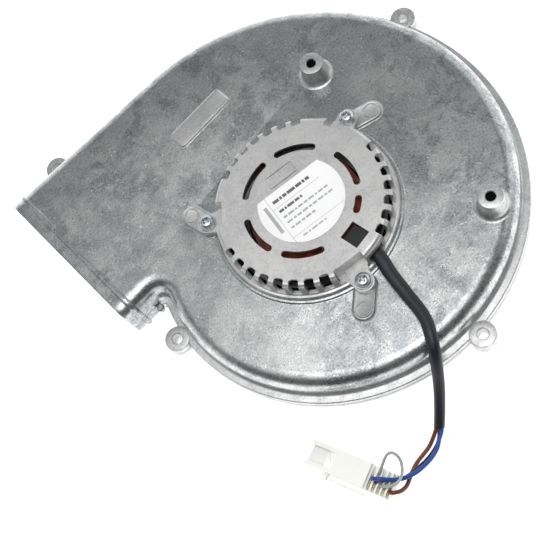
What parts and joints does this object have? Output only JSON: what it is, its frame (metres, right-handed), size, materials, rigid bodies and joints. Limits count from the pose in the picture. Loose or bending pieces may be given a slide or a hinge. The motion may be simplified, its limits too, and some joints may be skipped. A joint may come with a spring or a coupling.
{
  "type": "centrifugal combustion blower",
  "caption": "Centrifugal boiler blower: two-part volute casing with beaded rectangular outlet, ring-mounted external-rotor motor under a slotted cover, and a lead with a plug.",
  "frame": {"origin": "on the rotor axis, in the plane of the inlet ring on which the blower lies", "axes": "+Z along the rotor axis from the inlet to the motor cover; -X out of the outlet; +Y towards the outlet duct side of the volute"},
  "size_m": [0.2215, 0.2663, 0.0476],
  "materials": {
    "cast_aluminium": "rough die-cast skin",
    "black_rubber": "matt",
    "zinc_steel": "zinc plated",
    "pressed_aluminium": "smooth",
    "blasted_aluminium": "fine blasted casting",
    "label_film": "printed film with no legend",
    "electrical_steel": "laminated",
    "natural_nylon": "moulded",
    "copper_enamel": "enamelled copper wire",
    "black_plastic": "moulded",
    "bearing_steel": "ground",
    "rotor_steel": "deep drawn",
    "impeller_aluminium": "rolled sheet",
    "sleeve_vinyl": "satin sleeve",
    "brown_insulation": "wire insulation",
    "blue_insulation": "wire insulation",
    "black_insulation": "wire insulation",
    "grey_insulation": "wire insulation",
    "white_nylon": "moulded",
    "tinned_brass": "tinned"
  },
  "bodies": {
    "housing": {"volute_casing": "cast_aluminium", "base_casing": "cast_aluminium", "casing_seal": "black_rubber", "casing_screws": "zinc_steel", "inlet_nozzle": "pressed_aluminium", "motor_cover": "blasted_aluminium", "cover_gasket": "black_rubber", "rating_label": "label_film", "cover_screws": "zinc_steel", "cover_washers": "zinc_steel", "bearing_tube": "pressed_aluminium", "stator_core": "electrical_steel", "upper_insulator": "natural_nylon", "lower_insulator": "natural_nylon", "upper_winding": "copper_enamel", "lower_winding": "copper_enamel", "thermal_cutout": "natural_nylon", "cable_clamp": "black_plastic", "upper_outer_race": "bearing_steel", "lower_outer_race": "bearing_steel", "preload_washer": "bearing_steel", "cable_sleeve": "sleeve_vinyl", "brown_wire": "brown_insulation", "blue_wire": "blue_insulation", "black_wire": "black_insulation", "grey_jumper": "grey_insulation", "connector_housing": "white_nylon", "connector_contacts": "tinned_brass"},
    "rotor": {"shaft": "bearing_steel", "shaft_circlip": "bearing_steel", "upper_inner_race": "bearing_steel", "lower_inner_race": "bearing_steel", "rotor_can": "rotor_steel", "rotor_laminations": "electrical_steel", "rotor_cage_rings": "pressed_aluminium", "impeller_hub_screws": "zinc_steel", "impeller_backplate": "impeller_aluminium", "impeller_blades": "impeller_aluminium", "impeller_shroud": "impeller_aluminium", "balance_clip": "zinc_steel"},
    "upper_balls": {"upper_ball_set": "bearing_steel"},
    "lower_balls": {"lower_ball_set": "bearing_steel"},
    "latch": {"connector_latch": "white_nylon"}
  },
  "joints": [
    {"name": "rotor_spin", "type": "hinge", "parent": "housing", "child": "rotor", "pos_m": [0, 0, 0.0288], "axis": [0, 0, 1], "continuous": true},
    {"name": "upper_cage_spin", "type": "hinge", "parent": "housing", "child": "upper_balls", "pos_m": [0, 0, 0.039], "axis": [0, 0, 1], "continuous": true},
    {"name": "lower_cage_spin", "type": "hinge", "parent": "housing", "child": "lower_balls", "pos_m": [0, 0, 0.0185], "axis": [0, 0, 1], "continuous": true},
    {"name": "latch_flex", "type": "hinge", "parent": "housing", "child": "latch", "pos_m": [-0.08865, -0.09253, 0.005], "axis": [0, 0, 1], "range_deg": [0, 3.5]}
  ],
  "couplings": [
    {"joint": "upper_cage_spin", "follows": "rotor_spin", "ratio": 0.38},
    {"joint": "lower_cage_spin", "follows": "rotor_spin", "ratio": 0.38}
  ]
}
